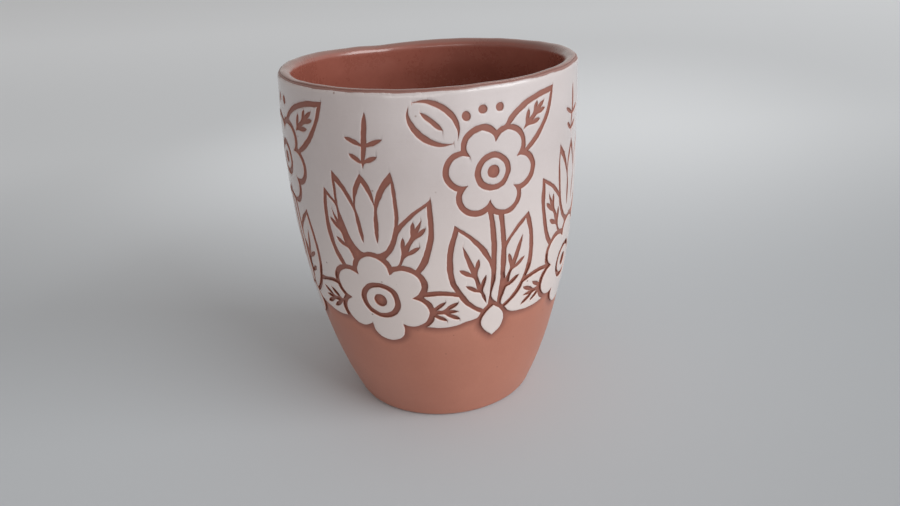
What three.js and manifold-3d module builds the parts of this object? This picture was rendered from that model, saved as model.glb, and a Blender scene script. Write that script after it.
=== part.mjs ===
// A handleless earthenware cup: a thrown clay body, a glaze lining, and a coat of white slip
// that is carved through to the clay, which parts the coat into separate islands.
import * as THREE from 'three';
import { mergeVertices } from 'three/addons/utils/BufferGeometryUtils.js';
import Module from 'manifold-3d';

const wasm = await Module();
wasm.setup();

// Clay body, in millimetres
const CUP_HEIGHT = 100;
const FOOT_RADIUS = 25.9; // outer edge of the flat foot
const FOOT_ROUNDING = 2;
const FOOT_RECESS_RADIUS = 18.5;
const FOOT_RECESS_DEPTH = 1.2;
const RIM_RADIUS = 41.1;
const WALL_AT_LIP = 3;
const LIP_OUTER_ROUNDING = 1;
const LIP_INNER_ROUNDING = 1.6;
const WALL_AT_FOOT = 5.5;
const FLOOR_THICKNESS = 6;
const BOWL_ROUNDING = 9; // where the inside wall turns into the floor
const FLARE_HANDLE = new THREE.Vector2(0.4, 0.4); // pull on the wall curve above the foot
const BELLY_HANDLE = new THREE.Vector2(4.2, -60.4); // pull on the wall curve below the lip

// Coats
const SEAT_GAP = 0.1; // clearance under every coat
const LINING_THICKNESS = 0.3;
const SLIP_THICKNESS = 0.3;
const SLIP_CLIMB = 2; // facets of the lip's outer rounding that the slip covers, of LIP_SEGMENTS
const LINING_CLIMB = 1; // facets of it that the lining covers from above
const HEM_HEIGHT = 31.5; // height of the carved lower edge of the slip
const HEM_SPARE = 4; // the slip reaches this far below the hem until it is carved
const CUT_WIDTH = 1.45; // width of a carved line
const VEIN_WIDTH = 1.15; // width of a line inside a motif
const VEIN_RISE = 0.14; // share of a leaf's length over which a vein climbs
const VEIN_REACH = 0.55; // share of half the leaf's width that a vein spans

// Carved pattern: one repeat is drawn at this size, then stretched to its share of the band of slip.
// Heights are measured up the wall from the hem.
const PATTERN_DROP = 2.4; // the pattern ends this far below the top of the lip
const REPEATS = 4;
const DRAWN_WIDTH = 63.7;
const DRAWN_HEIGHT = 66.4;
const FRONT = THREE.MathUtils.degToRad(-114); // where the first repeat stands
const PETALS = 6;
const PETAL_SHARE = 0.38; // radius of a petal against rosette radius
const EYE_SHARE = 0.35; // rosette eye against rosette radius
const DOT_SHARE = 0.4; // bare dot against rosette eye
const LOW_ROSETTE = { radius: 14, height: 12.6, turn: 30, turnDrift: 9 };
const HIGH_ROSETTE = { radius: 12, height: 47.5, turn: 0, turnDrift: 8 };
const TULIP = { length: 22, width: 16, height: 25.5, turnDrift: 4 };
const STEM = { length: 34, width: 2.8, height: 6 };
const STEM_LEAF = {
  length: 29, width: 11, bend: 3, height: 6, turn: 25, ribShare: [0.16, 0.82], veinShare: [0.3, 0.48],
};
const BLADE = {
  length: 32, width: 10, bend: 3, height: 12.6, turn: 31, ribShare: [0.3, 0.85], veinShare: [0.5, 0.66],
};
const HEM_LEAF = {
  length: 29, width: 12, bend: -2, height: 10, turn: 93, ribShare: [0.4, 0.67], veinShare: [0.44, 0.54],
};
const HIGH_LEAF = {
  length: 26, width: 10, bend: 3, height: 47.5, turn: -42, ribShare: [0.5, 0.86], veinShare: [0.54, 0.66],
};
const PAIR_TURN_DRIFT = 3; // degrees, for the leaves that stand in pairs
const BUD = { length: 12, width: 8, bend: 0, height: -2, turn: 0 };
const SPRIG = {
  length: 14, width: 18, bend: 1, height: 50, turnDrift: 7, ribShare: [0, 1], veinShare: [0.1, 0.4],
};
const OPEN_LEAF = { // drawn in the ground, round the middle of a high rosette
  length: 13.5, width: 7, mouth: 1.4, height: 47.5, from: 12.6, turn: 48, turnDrift: 4, ribShare: [0.3, 0.8],
};
const BERRY = { radius: 1.1, orbit: 16, turns: [-9, 7, 23] }; // bare dots around a high rosette
const DRIFT_STEP = 2.4; // radians from one motif's drift to the next one's
const GROUND_TUCK = 3; // the ground starts this far below the middle of the low rosettes

// Curves
const HANDLE_REACH = 0.75; // share of its handles' offset that a curve spans at its middle
const STROKE_TAPER = 0.12; // share of a carved stroke's length that lies before its first handle

// Facets
const ROUND_SIDES = 36;
const WALL_ROWS = 8;
const LIP_SEGMENTS = 4; // of each of the lip's two roundings
const BOWL_SEGMENTS = 4;
const ARC_SEGMENTS = 4; // a round outline has twice as many facets in each of its arcs
const CURVE_SEGMENTS = 6; // of each curve in any other outline
const BLOCK_INSIDE = 12; // depth of a carving block under the spot that it is set on
const BLOCK_OUTSIDE = 4;
const FLATNESS = 0.002; // spare points closer than this to a straight edge are dropped
const WELD = 1e-4; // points closer than this are one
const SEARCH_STEPS = 40; // halvings that find a height on the wall

const clay = new THREE.MeshStandardMaterial({ color: 0xb06a55, roughness: 0.55, metalness: 0 });
const lining = new THREE.MeshStandardMaterial({ color: 0x9a5643, roughness: 0.2, metalness: 0 });
const slip = new THREE.MeshStandardMaterial({ color: 0xe2d8d2, roughness: 0.35, metalness: 0 });

const cup = new THREE.Group();

function addMesh(name, geometry, material) {
  const mesh = new THREE.Mesh(geometry, material);
  mesh.name = name;
  cup.add(mesh);
}

// The outside of the clay wall, from the foot rounding to the lip, as radius and height
const wallFoot = new THREE.Vector2(FOOT_RADIUS + 0.9 * FOOT_ROUNDING, FOOT_ROUNDING);
const wallTop = new THREE.Vector2(RIM_RADIUS, CUP_HEIGHT - LIP_OUTER_ROUNDING);
const wall = new THREE.CubicBezierCurve(
  wallFoot,
  wallFoot.clone().add(FLARE_HANDLE),
  wallTop.clone().add(BELLY_HANDLE),
  wallTop,
);

// Share of the wall's length at which the wall reaches a height
function wallShareAt(height) {
  let low = 0;
  let high = 1;
  for (let step = 0; step < SEARCH_STEPS; step += 1) {
    const middle = (low + high) / 2;
    if (wall.getPointAt(middle).y < height) low = middle;
    else high = middle;
  }
  return low;
}

function outward(share) {
  const along = wall.getTangentAt(share);
  return new THREE.Vector2(along.y, -along.x);
}

const wallShares = Array.from({ length: WALL_ROWS + 1 }, (_, row) => row / WALL_ROWS);
const wallPoint = (share, lift) => wall.getPointAt(share).addScaledVector(outward(share), lift);
const insidePoint = (share) => wallPoint(share, -THREE.MathUtils.lerp(WALL_AT_FOOT, WALL_AT_LIP, share));

// The lip turns over from the outside of the wall in two roundings
function lipPoint(centreX, rounding, quarters, lift = 0) {
  const angle = (quarters * Math.PI) / 2;
  const centre = new THREE.Vector2(centreX, CUP_HEIGHT - rounding);
  return centre.add(new THREE.Vector2(Math.cos(angle), Math.sin(angle)).multiplyScalar(rounding + lift));
}

const lipSteps = Array.from({ length: LIP_SEGMENTS }, (_, step) => (step + 1) / LIP_SEGMENTS);
const outerLipPoint = (share, lift) => (
  lipPoint(RIM_RADIUS - LIP_OUTER_ROUNDING, LIP_OUTER_ROUNDING, share, lift)
);
const innerLipPoint = (share) => (
  lipPoint(RIM_RADIUS - WALL_AT_LIP + LIP_INNER_ROUNDING, LIP_INNER_ROUNDING, 1 + share)
);
const innerLipPoints = () => [innerLipPoint(0), ...lipSteps.map(innerLipPoint)];

function insidePoints() {
  const turnHeight = FLOOR_THICKNESS + BOWL_ROUNDING;
  const side = wallShares.slice(0, -1).map(insidePoint).filter((point) => point.y > turnHeight).reverse();
  const last = side[side.length - 1];
  const turn = new THREE.QuadraticBezierCurve(
    last,
    new THREE.Vector2(last.x - 0.35 * BOWL_ROUNDING, FLOOR_THICKNESS),
    new THREE.Vector2(last.x - 1.6 * BOWL_ROUNDING, FLOOR_THICKNESS),
  );
  return [...side, ...turn.getPoints(BOWL_SEGMENTS).slice(1), new THREE.Vector2(0, FLOOR_THICKNESS)];
}

function turned(profile) {
  return new THREE.LatheGeometry(profile, ROUND_SIDES).rotateX(Math.PI / 2);
}

function clayProfile() {
  const footEdge = new THREE.QuadraticBezierCurve(
    new THREE.Vector2(FOOT_RADIUS, 0),
    new THREE.Vector2(FOOT_RADIUS + 0.6 * FOOT_ROUNDING, 0),
    wallFoot,
  );
  return [
    new THREE.Vector2(0, FOOT_RECESS_DEPTH),
    new THREE.Vector2(FOOT_RECESS_RADIUS - FOOT_RECESS_DEPTH, FOOT_RECESS_DEPTH),
    new THREE.Vector2(FOOT_RECESS_RADIUS, 0),
    ...footEdge.getPoints(4).slice(0, -1),
    ...wallShares.map((share) => wallPoint(share, 0)),
    ...lipSteps.map((share) => outerLipPoint(share)),
    ...innerLipPoints(),
    ...insidePoints(),
  ];
}

// A surface profile that runs up the outside and down the inside, lifted off the clay
function lifted(profile, lift) {
  return profile.map((point, index) => {
    const before = profile[Math.max(index - 1, 0)];
    const after = profile[Math.min(index + 1, profile.length - 1)];
    const along = after.clone().sub(before).normalize();
    const normal = point.x === 0 ? new THREE.Vector2(0, 1) : new THREE.Vector2(along.y, -along.x);
    return point.clone().addScaledVector(normal, lift);
  });
}

function liningProfile() {
  const over = lipSteps.slice(-1 - LINING_CLIMB).map((share) => outerLipPoint(share));
  const surface = [...over, ...innerLipPoints(), ...insidePoints()];
  return [
    ...lifted(surface, SEAT_GAP).reverse(),
    ...lifted(surface, SEAT_GAP + LINING_THICKNESS),
  ];
}

// A ring of slip lying on the wall, from a share of the wall's length up on to the lip
function slipRing(lowShare) {
  const shares = [lowShare, ...wallShares.filter((share) => share > lowShare)];
  const face = (lift) => [
    ...shares.map((share) => wallPoint(share, lift)),
    ...lipSteps.slice(0, SLIP_CLIMB).map((share) => outerLipPoint(share, lift)),
  ];
  const inner = face(SEAT_GAP).reverse();
  return solidOf(turned([...inner, ...face(SEAT_GAP + SLIP_THICKNESS), inner[0]]));
}

function solidOf(geometry) {
  geometry.deleteAttribute('normal');
  geometry.deleteAttribute('uv');
  const welded = mergeVertices(geometry, WELD);
  return new wasm.Manifold(new wasm.Mesh({
    numProp: 3,
    vertProperties: new Float32Array(welded.attributes.position.array),
    triVerts: new Uint32Array(welded.index.array),
  }));
}

function geometryOf(solid) {
  const mesh = solid.getMesh();
  const geometry = new THREE.BufferGeometry();
  geometry.setAttribute('position', new THREE.BufferAttribute(mesh.vertProperties, 3));
  geometry.setIndex(new THREE.BufferAttribute(mesh.triVerts, 1));
  return geometry;
}

// Carving leaves slivers where lines cross: only the largest body stays on the cup
function largestBody(solid) {
  const bodies = solid.asOriginal().simplify(FLATNESS).decompose();
  return bodies.reduce((best, body) => (body.volume() > best.volume() ? body : best));
}

const hemShare = wallShareAt(HEM_HEIGHT);
const topShare = wallShareAt(CUP_HEIGHT - PATTERN_DROP);
const bandRadius = wallPoint((hemShare + topShare) / 2, 0).x;
const stretchRound = (2 * Math.PI * bandRadius) / REPEATS / DRAWN_WIDTH;
const stretchUp = ((topShare - hemShare) * wall.getLength()) / DRAWN_HEIGHT;
const shareAt = (height) => hemShare + (height * (topShare - hemShare)) / DRAWN_HEIGHT;

// A flat shape set on the wall as a straight block that passes right through the slip
function blockOn(shape, { angle, height, turn }) {
  const share = shareAt(height);
  const spot = wall.getPointAt(share);
  const normal = outward(share);
  const block = new THREE.ExtrudeGeometry(shape, {
    depth: BLOCK_INSIDE + BLOCK_OUTSIDE,
    bevelEnabled: false,
    curveSegments: shape.curves[0].isEllipseCurve ? ARC_SEGMENTS : CURVE_SEGMENTS,
  });
  // On the wall, x runs round it, y up it and z out of it
  const frame = new THREE.Matrix4().makeBasis(
    new THREE.Vector3(0, 1, 0),
    new THREE.Vector3(-normal.y, 0, normal.x),
    new THREE.Vector3(normal.x, 0, normal.y),
  );
  frame.setPosition(spot.x, 0, spot.y);
  block.translate(0, 0, -BLOCK_INSIDE).rotateZ(turn).scale(stretchRound, stretchUp, 1);
  block.applyMatrix4(frame).rotateZ(angle);
  return solidOf(block);
}

// Round petals in a ring, as arcs that meet in notches
function rosetteShape(radius, grow) {
  const centre = (1 - PETAL_SHARE) * radius;
  const petal = PETAL_SHARE * radius + grow;
  const half = Math.PI / PETALS;
  const notch = centre * Math.cos(half) + Math.sqrt(Math.max(petal ** 2 - (centre * Math.sin(half)) ** 2, 0));
  const reach = Math.atan2(notch * Math.sin(half), notch * Math.cos(half) - centre);
  const shape = new THREE.Shape();
  for (let index = 0; index < PETALS; index += 1) {
    const turn = 2 * half * index;
    shape.absarc(centre * Math.cos(turn), centre * Math.sin(turn), petal, turn - reach, turn + reach);
  }
  return shape;
}

function withHole(shape, radius) {
  const hole = new THREE.Path();
  hole.absarc(0, 0, radius, 0, 2 * Math.PI, true);
  shape.holes.push(hole);
  return shape;
}

function discShape(radius) {
  const shape = new THREE.Shape();
  shape.absarc(0, 0, radius, 0, 2 * Math.PI);
  return shape;
}

// A leaf from a pointed base at the origin up to a pointed tip, leaning sideways by its bend
function leafShape({ length, width, bend }, grow) {
  const side = (width / 2 + grow) / HANDLE_REACH;
  const low = -1.3 * grow;
  const high = length + 1.3 * grow;
  const shape = new THREE.Shape();
  shape.moveTo(0, low);
  shape.bezierCurveTo(side, length / 3, side + 0.4 * bend, (2 * length) / 3, bend, high);
  shape.bezierCurveTo(0.4 * bend - side, (2 * length) / 3, -side, length / 3, 0, low);
  return shape;
}

// A tulip head with three points, standing on the origin
function tulipShape({ length, width }, grow) {
  const half = width / 2;
  const tip = { x: half + 0.2 * grow, y: length + 1.8 * grow };
  const notch = { x: 0.38 * half, y: 0.64 * length + 1.6 * grow };
  const bulge = 1.15 * half + grow;
  const shape = new THREE.Shape();
  shape.moveTo(0, -1.3 * grow);
  shape.bezierCurveTo(0.9 * half + grow, -grow, bulge, 0.55 * length, tip.x, tip.y);
  shape.quadraticCurveTo(0.6 * half - 0.8 * grow, 0.88 * length + 0.8 * grow, notch.x, notch.y);
  shape.quadraticCurveTo(0.3 * half + 0.8 * grow, 0.85 * length + 0.8 * grow, 0, length + 1.6 * grow);
  shape.quadraticCurveTo(-0.3 * half - 0.8 * grow, 0.85 * length + 0.8 * grow, -notch.x, notch.y);
  shape.quadraticCurveTo(-0.6 * half + 0.8 * grow, 0.88 * length + 0.8 * grow, -tip.x, tip.y);
  shape.bezierCurveTo(-bulge, 0.55 * length, -0.9 * half - grow, -grow, 0, -1.3 * grow);
  return shape;
}

// A narrow strip that sways to one side, standing on the origin
function stemShape({ length, width }, grow) {
  const half = width / 2 + grow;
  const sway = 0.08 * length;
  const shape = new THREE.Shape();
  shape.moveTo(-half, 0);
  shape.lineTo(half, 0);
  shape.quadraticCurveTo(half + sway, length / 2, half, length);
  shape.lineTo(-half, length);
  shape.quadraticCurveTo(sway - half, length / 2, -half, 0);
  return shape;
}

// A carved stroke that tapers at both ends and bows to its left
function strokeShape(from, to, width, bow = 0) {
  const along = to.clone().sub(from).multiplyScalar(STROKE_TAPER);
  const across = new THREE.Vector2(-along.y, along.x).normalize();
  const offset = (side) => across.clone().multiplyScalar((bow + (side * width) / 2) / HANDLE_REACH);
  const leave = (side) => from.clone().add(along).add(offset(side));
  const arrive = (side) => to.clone().sub(along).add(offset(side));
  const shape = new THREE.Shape();
  shape.moveTo(from.x, from.y);
  shape.bezierCurveTo(...leave(-1), ...arrive(-1), to.x, to.y);
  shape.bezierCurveTo(...arrive(1), ...leave(1), from.x, from.y);
  return shape;
}

// Half the width of a leaf, and the point on its middle line, at a share of its length
const leafHalfWidth = ({ width }, share) => 2 * width * share * (1 - share);
const leafMiddle = ({ length, bend }, share) => (
  new THREE.Vector2(bend * (1.2 * share ** 2 - 0.2 * share ** 3), share * length)
);

// The middle line of a leaf, and pairs of veins that leave it
function leafLines(size) {
  const [ribStart, ribEnd] = size.ribShare.map((share) => leafMiddle(size, share));
  const veins = size.veinShare.flatMap((share) => [-1, 1].map((side) => {
    const end = leafMiddle(size, share + VEIN_RISE);
    end.x += side * VEIN_REACH * leafHalfWidth(size, share + VEIN_RISE);
    return strokeShape(leafMiddle(size, share), end, VEIN_WIDTH);
  }));
  return [strokeShape(ribStart, ribEnd, CUT_WIDTH), ...veins];
}

// A leaf as two bowed strokes that stop short of each other, so that its inside stays part of the ground
function openLeafLines({ length, width, mouth, from, ribShare }) {
  const spot = (aside, share) => new THREE.Vector2(aside, from + share * length);
  const sides = [-1, 1].map((side) => {
    const aside = (side * mouth) / 2;
    return strokeShape(spot(aside, 0), spot(aside, 1), CUT_WIDTH, -side * (width / 2));
  });
  const [ribStart, ribEnd] = ribShare.map((share) => spot(0, share));
  return [...sides, strokeShape(ribStart, ribEnd, VEIN_WIDTH)];
}

// Strokes that carry the notches of a tulip down towards its base
function tulipLines({ length, width }) {
  return [-1, 1].map((side) => strokeShape(
    new THREE.Vector2(0.19 * side * width, 0.72 * length),
    new THREE.Vector2(0.12 * side * width, 0.2 * length),
    VEIN_WIDTH,
  ));
}

const degrees = THREE.MathUtils.degToRad;
// A small repeatable drift, because no two carved motifs are alike
const drift = (seed) => Math.sin(seed * DRIFT_STEP);

// Motifs of one repeat, from the top layer down: each is cut around in the ones below it
function motifsOf(repeat) {
  const left = FRONT + (repeat * 2 * Math.PI) / REPEATS;
  const middle = left + Math.PI / REPEATS;
  const number = repeat + 1;
  const at = (angle, height, turn = 0) => ({ angle, height, turn: degrees(turn) });
  const motifs = [];
  const rosette = (name, { radius, height, turn, turnDrift }, angle, seed) => {
    const place = at(angle, height, turn + turnDrift * drift(repeat + seed));
    const eye = EYE_SHARE * radius;
    motifs.push({
      name: `${name}_ring_${number}`,
      place,
      outline: (grow) => {
        const disc = discShape(eye + grow);
        return grow > 0 ? disc : withHole(disc, DOT_SHARE * eye);
      },
    });
    motifs.push({
      name: `${name}_${number}`,
      place,
      outline: (grow) => rosetteShape(radius, grow),
    });
  };
  const leaf = (name, size, angle) => {
    motifs.push({
      name: `${name}_${number}`,
      place: at(angle, size.height, size.turn),
      outline: (grow) => leafShape(size, grow),
      lines: size.veinShare ? leafLines(size) : [],
    });
  };
  const leafPair = (name, size, angle) => {
    for (const [side, sign] of [['left', 1], ['right', -1]]) {
      const turn = sign * (size.turn + PAIR_TURN_DRIFT * drift(repeat + motifs.length));
      leaf(`${name}_${side}`, { ...size, bend: sign * size.bend, turn }, angle);
    }
  };
  rosette('low_rosette', LOW_ROSETTE, left, 1);
  rosette('high_rosette', HIGH_ROSETTE, middle, 2);
  leaf('bud', BUD, middle);
  motifs.push({
    name: `tulip_${number}`,
    place: at(left, TULIP.height, TULIP.turnDrift * drift(repeat + 3)),
    outline: (grow) => tulipShape(TULIP, grow),
    lines: tulipLines(TULIP),
  });
  motifs.push({
    name: `stem_${number}`,
    place: at(middle, STEM.height),
    outline: (grow) => stemShape(STEM, grow),
  });
  leaf('high_leaf', HIGH_LEAF, middle);
  leafPair('stem_leaf', STEM_LEAF, middle);
  leafPair('blade', BLADE, left);
  leafPair('hem_leaf', HEM_LEAF, left);
  return motifs;
}

// Strokes carved straight into the ground of one repeat: a sprig over the tulip, then an open leaf
// and berries round the high rosette
function groundCuts(repeat) {
  const left = FRONT + (repeat * 2 * Math.PI) / REPEATS;
  const middle = left + Math.PI / REPEATS;
  const sprigTurn = SPRIG.turnDrift * drift(repeat + 4);
  const sprigPlace = { angle: left, height: SPRIG.height, turn: degrees(sprigTurn) };
  const leafTurn = OPEN_LEAF.turn + OPEN_LEAF.turnDrift * drift(repeat + 5);
  const leafPlace = { angle: middle, height: OPEN_LEAF.height, turn: degrees(leafTurn) };
  const berries = BERRY.turns.map((turn) => blockOn(discShape(BERRY.radius), {
    angle: middle - (BERRY.orbit * Math.sin(degrees(turn)) * 2 * Math.PI) / REPEATS / DRAWN_WIDTH,
    height: HIGH_ROSETTE.height + BERRY.orbit * Math.cos(degrees(turn)),
    turn: 0,
  }));
  return [
    ...leafLines(SPRIG).map((stroke) => blockOn(stroke, sprigPlace)),
    ...openLeafLines(OPEN_LEAF).map((stroke) => blockOn(stroke, leafPlace)),
    ...berries,
  ];
}

addMesh('clay_body', turned(clayProfile()), clay);
addMesh('glaze_lining', turned(liningProfile()), lining);

const wholeCoat = slipRing(shareAt(-HEM_SPARE));
let ground = slipRing(shareAt(LOW_ROSETTE.height - GROUND_TUCK));
let carved = null; // everything that the layers above have taken
const layers = Array.from({ length: REPEATS }, (_, repeat) => motifsOf(repeat));
for (let layer = 0; layer < layers[0].length; layer += 1) {
  for (const motifs of layers) {
    const { name, place, outline, lines = [] } = motifs[layer];
    let island = wholeCoat.intersect(blockOn(outline(-CUT_WIDTH / 2), place));
    if (carved) island = island.subtract(carved);
    for (const line of lines) island = island.subtract(blockOn(line, place));
    addMesh(`slip_${name}`, geometryOf(largestBody(island)), slip);
  }
  for (const motifs of layers) {
    const { place, outline } = motifs[layer];
    const taken = blockOn(outline(CUT_WIDTH / 2), place);
    carved = carved ? carved.add(taken) : taken;
  }
}
ground = ground.subtract(carved);
for (const repeat of layers.keys()) {
  for (const block of groundCuts(repeat)) ground = ground.subtract(block);
}
addMesh('slip_ground', geometryOf(largestBody(ground)), slip);

export default cup;
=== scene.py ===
import math

import bmesh
import bpy
import numpy as np
from mathutils import Matrix, Vector, noise
from mathutils.geometry import delaunay_2d_cdt
from mathutils.kdtree import KDTree


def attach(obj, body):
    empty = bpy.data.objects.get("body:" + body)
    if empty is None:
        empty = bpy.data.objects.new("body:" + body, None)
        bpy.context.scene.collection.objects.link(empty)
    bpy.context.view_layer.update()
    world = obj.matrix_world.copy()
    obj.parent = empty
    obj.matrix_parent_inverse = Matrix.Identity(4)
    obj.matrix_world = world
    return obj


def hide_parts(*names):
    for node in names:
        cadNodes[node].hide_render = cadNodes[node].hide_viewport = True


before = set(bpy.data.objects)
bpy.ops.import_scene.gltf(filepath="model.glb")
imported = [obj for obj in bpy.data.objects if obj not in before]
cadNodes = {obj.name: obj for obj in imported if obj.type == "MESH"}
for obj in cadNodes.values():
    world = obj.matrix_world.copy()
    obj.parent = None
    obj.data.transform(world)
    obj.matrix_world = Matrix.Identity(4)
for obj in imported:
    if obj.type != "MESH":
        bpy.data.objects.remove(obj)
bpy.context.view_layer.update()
mm = 0.001
touching = 0.001  # mm; points this close count as one
noise.seed_set(5)  # the same waver and lumps in every run
print("frame loaded:", len(cadNodes), "nodes")


# Reading the turned solids, in millimetres

def weldedNode(name):
    work = bmesh.new()
    work.from_mesh(cadNodes[name].data)
    bmesh.ops.remove_doubles(work, verts=work.verts, dist=touching * mm)
    work.verts.index_update()
    points = np.array([corner.co[:] for corner in work.verts]) / mm
    faces = np.array([[corner.index for corner in face.verts] for face in work.faces])
    work.free()
    return points, faces


def turnedProfile(name):
    # one meridian, walked from its lowest point on the axis, as radius and height
    points, faces = weldedNode(name)
    radius = np.hypot(points[:, 0], points[:, 1])
    seam = (np.abs(points[:, 0]) < touching) & (points[:, 1] < touching)
    beside = {}
    for face in faces:
        for first, second in zip(face, np.roll(face, -1)):
            if seam[first] and seam[second]:
                beside.setdefault(first, []).append(second)
                beside.setdefault(second, []).append(first)
    walk = [min((i for i in beside if radius[i] < touching), key=lambda i: points[i, 2])]
    while True:
        onward = [i for i in beside[walk[-1]] if i not in walk]
        if not onward:
            break
        walk.append(onward[0])
    return np.stack([radius[walk], points[walk, 2]], axis=1)


def smoothLine(points, spacing, cornerTurn, closed):
    # a curve through the points; a turn sharper than cornerTurn degrees stays a corner
    count = len(points)
    step = np.roll(points, -1, axis=0) - points
    length = np.linalg.norm(step, axis=1)
    heading = step / np.maximum(length, 1e-9)[:, None]
    before = np.roll(heading, 1, axis=0)
    lengthBefore = np.roll(length, 1)
    # a profile follows its longer side, so that flats stay flat; an outline bends evenly
    lead = lengthBefore if closed else length
    share = (lead / np.maximum(length + lengthBefore, 1e-9))[:, None]
    soft = heading * share + before * (1 - share)
    corner = (heading * before).sum(axis=1) < math.cos(math.radians(cornerTurn))
    leaving = np.where(corner[:, None], heading, soft)
    arriving = np.where(corner[:, None], before, soft)
    if not closed:
        leaving[0] = heading[0]
        arriving[-1] = before[-1]
    made = []
    for i in range(count if closed else count - 1):
        j = (i + 1) % count
        t = np.linspace(0, 1, max(1, math.ceil(length[i] / spacing)), endpoint=False)[:, None]
        made.append(
            (2 * t**3 - 3 * t**2 + 1) * points[i]
            + (t**3 - 2 * t**2 + t) * leaving[i] * length[i]
            + (3 * t**2 - 2 * t**3) * points[j]
            + (t**3 - t**2) * arriving[j] * length[i]
        )
    if not closed:
        made.append(points[-1:])
    return np.concatenate(made)


turnedLine = {
    "rowSpacing": 0.8,  # mm along a profile
    "cornerTurn": 40.0,
    "wallStep": 2.0,  # mm between the points that carry the outside of the wall
    "wallDegree": 6,  # of the smooth curve through them
    "footTurn": 1.9,  # mm; the wall starts above this height
    "lipTurn": 0.9,  # mm; the wall ends this far under the top
}


def roundedProfile(profile):
    return smoothLine(profile, turnedLine["rowSpacing"], turnedLine["cornerTurn"], False)


def readClay():
    # the clay's meridian, with the facets of the wall turned into one smooth curve
    profile = turnedProfile("clay_body")
    top = profile[:, 1].argmax()
    height = profile[top, 1]
    order = np.arange(len(profile))
    onWall = (order < top) & (profile[:, 1] > turnedLine["footTurn"])
    onWall &= profile[:, 1] < height - turnedLine["lipTurn"]
    rows = profile[onWall]
    bend = np.polynomial.Polynomial.fit(rows[:, 1], rows[:, 0], turnedLine["wallDegree"])
    steps = np.linspace(rows[0, 1], rows[-1, 1], int((rows[-1, 1] - rows[0, 1]) / turnedLine["wallStep"]))
    first, last = order[onWall][[0, -1]]
    wall = np.stack([bend(steps), steps], axis=1)
    line = roundedProfile(np.concatenate([profile[:first], wall, profile[last + 1 :]]))
    line[:, 1] = np.maximum(line[:, 1], 0)
    return line


clayLine = readClay()
cupHeight = clayLine[:, 1].max()
print("clay read: height", round(float(cupHeight), 2), "widest", round(float(clayLine[:, 0].max()), 2))


# The outside, from the foot up on to the lip, rolled out flat: rings round the cup are rings on the sheet

sheetRadius = 40.0
outside = clayLine[clayLine[:, 0].argmin() + 1 : clayLine[:, 1].argmax() + 1]
outside = outside[outside[:, 1].argmin() + 1 :]
outsideLength = np.concatenate([[0], np.cumsum(np.linalg.norm(np.diff(outside, axis=0), axis=1))])
outsideAlong = np.gradient(outside, outsideLength, axis=0)
outsideAlong /= np.linalg.norm(outsideAlong, axis=1)[:, None]


def toSheet(points):
    radius = np.hypot(points[:, 0], points[:, 1])
    away = np.stack([radius, points[:, 2]], axis=1)[:, None] - outside[None]
    near = (away**2).sum(axis=2).argmin(axis=1)
    away = away[np.arange(len(points)), near]
    along = outsideAlong[near]
    reach = sheetRadius + outsideLength[near] + (away * along).sum(axis=1)
    angle = np.arctan2(points[:, 1], points[:, 0])
    return np.stack([reach * np.cos(angle), -reach * np.sin(angle)], axis=1)


def alongOutside(values, reach):
    return np.interp(reach - sheetRadius, outsideLength, values)


def fromSheet(flat, lift):
    reach = np.linalg.norm(flat, axis=1)
    alongRadius = alongOutside(outsideAlong[:, 0], reach)
    alongHeight = alongOutside(outsideAlong[:, 1], reach)
    radius = alongOutside(outside[:, 0], reach) + lift * alongHeight
    height = alongOutside(outside[:, 1], reach) - lift * alongRadius
    angle = np.arctan2(-flat[:, 1], flat[:, 0])
    return np.stack([radius * np.cos(angle), radius * np.sin(angle), height], axis=1)


handTurned = {
    "rimDrop": 0.7,  # mm from the tallest spot of the lip down to its mean
    "dropBend": 3,  # power of the height by which that drop grows
    "rimWave": [(-0.39, -0.26), (0.2, -0.05)],  # mm; cosine and sine of each wave round the lip
    "rimDent": 0.7,  # mm that the far side of the lip is pressed down, near dentTurn degrees
    "dentTurn": 112.0,
    "dentSharpness": 12,
    "oval": 0.5,  # mm that the rim is pulled out across one diagonal
    "slack": 0.72,  # mm taken off the rim all round, so that its bulges stay within the turned width
    "slackBend": 1.5,
    "middleRadius": 15.0,  # mm; nearer the axis the oval and the slack fade away
    "flare": 1.5,  # mm that the lip is pulled out on one side
    "flareTurn": 18.0,  # degrees
    "flareSharpness": 2,
    "flareFrom": 80.0,  # mm of height
    "aside": -0.3,  # mm that the whole cup stands off the axis
    "ripple": 0.1,  # mm of finger marks on the wall
    "ripplePitch": 0.62,  # radians for each mm of height
    "rippleSway": 1.4,
    "lump": 0.16,  # mm of unevenness along the lip
    "lumpLength": 6.0,
    "lumpReach": 7.0,  # mm below the top where it begins
}


def towards(angle, degrees, sharpness):
    # 1 on one side of the cup, falling to 0
    return np.maximum(np.cos(angle - math.radians(degrees)), 0) ** sharpness


def lipLumps(points):
    # mm sideways and down, felt only near the top
    near = np.clip((points[:, 2] - cupHeight) / handTurned["lumpReach"] + 1, 0, 1)
    lumps = np.zeros((len(points), 2))
    for i in np.flatnonzero(near):
        spot = Vector(points[i]) / handTurned["lumpLength"]
        lumps[i] = handTurned["lump"] * near[i] * np.array(noise.noise_vector(spot)[:2])
    return lumps


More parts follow.
